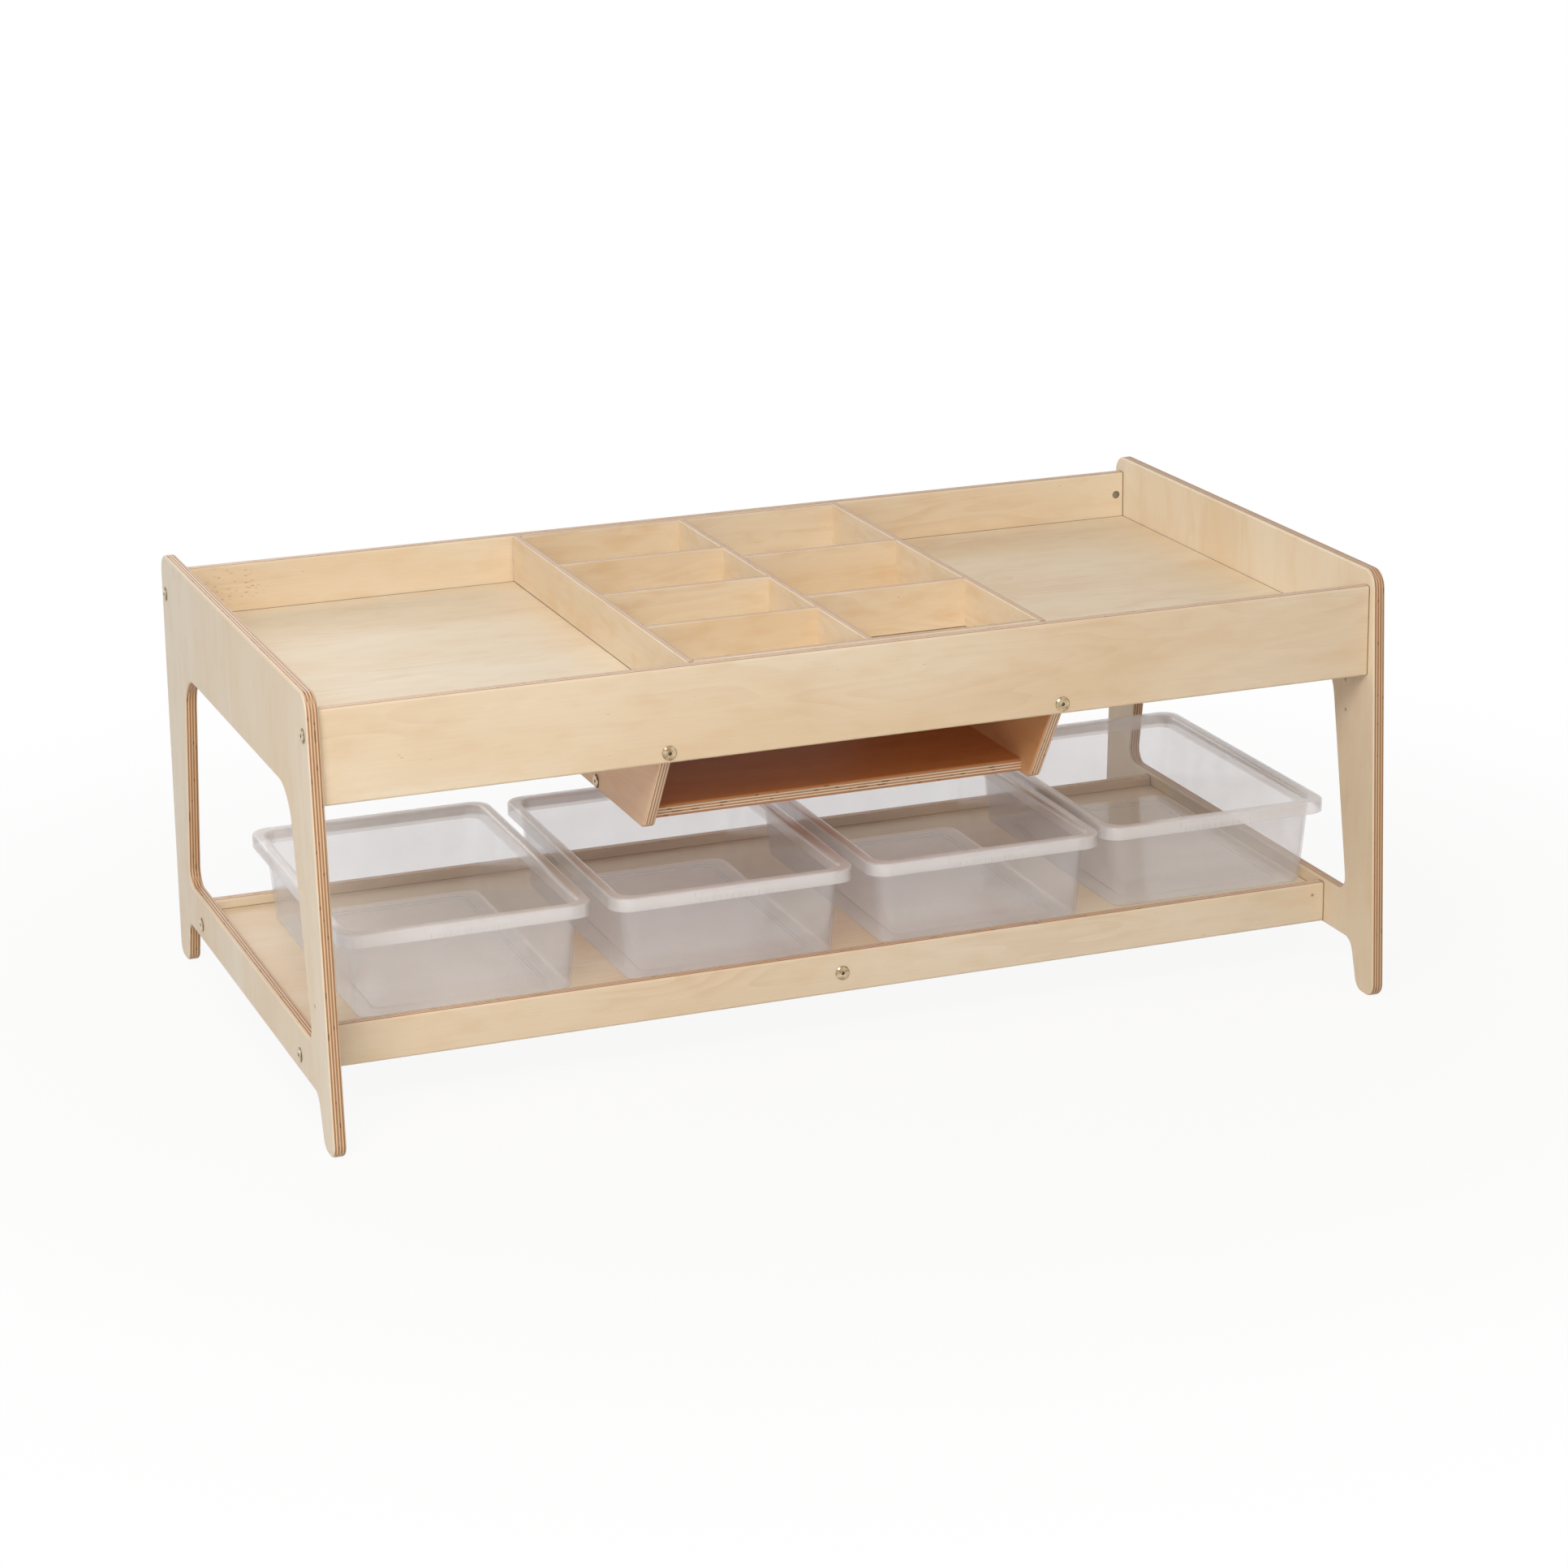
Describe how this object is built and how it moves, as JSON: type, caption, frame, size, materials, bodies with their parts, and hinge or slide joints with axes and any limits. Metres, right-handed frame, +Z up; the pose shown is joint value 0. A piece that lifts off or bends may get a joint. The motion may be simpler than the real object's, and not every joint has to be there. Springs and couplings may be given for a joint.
{
  "type": "play workbench",
  "caption": "Low plywood play table with a sunken play tray, lift-out compartment insert, under-shelf and a lower shelf of clear storage trays.",
  "frame": {"origin": "on the floor, under the middle of the bench", "axes": "+X along the bench to its right end seen from the front, +Y to the back, +Z up"},
  "size_m": [1.304, 0.7464, 0.524],
  "materials": {
    "birch_ply": "clear lacquered birch plywood, edges bare",
    "birch_board": "clear lacquered thin birch plywood",
    "insert_ply": "clear lacquered birch plywood, rounded top edges",
    "beech": "plain",
    "zinc_steel": "zinc plated",
    "clear_plastic": "clear, lightly frosted moulded plastic"
  },
  "bodies": {
    "bench": {"end_panel_left": "birch_ply", "end_panel_right": "birch_ply", "front_rail": "birch_ply", "back_rail": "birch_ply", "top_floor": "birch_board", "lower_front_rail": "birch_ply", "lower_back_rail": "birch_ply", "lower_shelf": "birch_board", "shelf_batten": "birch_ply", "bracket_left": "birch_ply", "bracket_right": "birch_ply", "under_shelf": "birch_ply", "panel_bolts": "zinc_steel", "panel_barrel_nuts": "zinc_steel", "bracket_bolts": "zinc_steel", "bracket_barrel_nuts": "zinc_steel", "under_shelf_bolts": "zinc_steel", "under_shelf_barrel_nuts": "zinc_steel", "batten_bolts": "zinc_steel", "batten_barrel_nuts": "zinc_steel", "rail_dowels": "beech"},
    "insert": {"insert_left_wall": "insert_ply", "insert_right_wall": "insert_ply", "insert_front_wall": "insert_ply", "insert_back_wall": "insert_ply", "insert_centre_wall": "insert_ply", "left_divider_front": "insert_ply", "left_divider_middle": "insert_ply", "left_divider_back": "insert_ply", "right_divider_front": "insert_ply", "right_divider_back": "insert_ply"},
    "tray_1": {"tray_1": "clear_plastic"},
    "tray_2": {"tray_2": "clear_plastic"},
    "tray_3": {"tray_3": "clear_plastic"},
    "tray_4": {"tray_4": "clear_plastic"}
  },
  "joints": [
    {"name": "insert_lift", "type": "slide", "parent": "bench", "child": "insert", "axis": [0, 0, 1], "range_m": [0, 0.12]},
    {"name": "tray_1_lift", "type": "slide", "parent": "bench", "child": "tray_1", "axis": [0, 0, 1], "range_m": [0, 0.085]},
    {"name": "tray_2_lift", "type": "slide", "parent": "bench", "child": "tray_2", "axis": [0, 0, 1], "range_m": [0, 0.085]},
    {"name": "tray_3_lift", "type": "slide", "parent": "bench", "child": "tray_3", "axis": [0, 0, 1], "range_m": [0, 0.085]},
    {"name": "tray_4_lift", "type": "slide", "parent": "bench", "child": "tray_4", "axis": [0, 0, 1], "range_m": [0, 0.085]}
  ]
}
